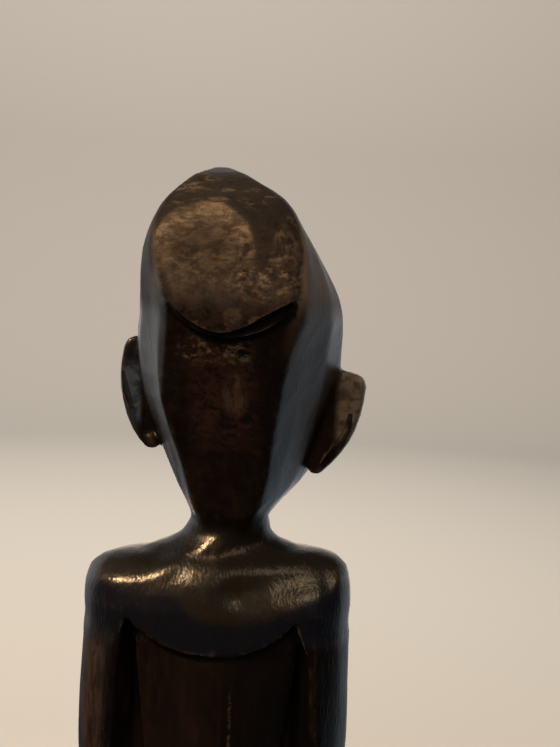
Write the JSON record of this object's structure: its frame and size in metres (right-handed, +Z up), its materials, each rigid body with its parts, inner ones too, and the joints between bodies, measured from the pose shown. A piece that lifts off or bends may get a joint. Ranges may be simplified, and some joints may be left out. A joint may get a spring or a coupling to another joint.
{
  "type": "wooden sculpture",
  "caption": "Standing figure carved from dark wood: tall faceted head with half-moon ears, square shoulders, arms held straight down, short legs and a low base.",
  "frame": {"origin": "middle of the flat underside of the base, on the surface that the figure stands on", "axes": "+Z up through the crown; the face looks along -Y and the back along +Y; +X is the figure's own left"},
  "size_m": [0.1288, 0.1149, 0.5],
  "materials": {
    "dark_wood": "stained dark, waxed, worn lighter on the high places"
  },
  "bodies": {
    "root": {"figure": "dark_wood"}
  },
  "joints": []
}
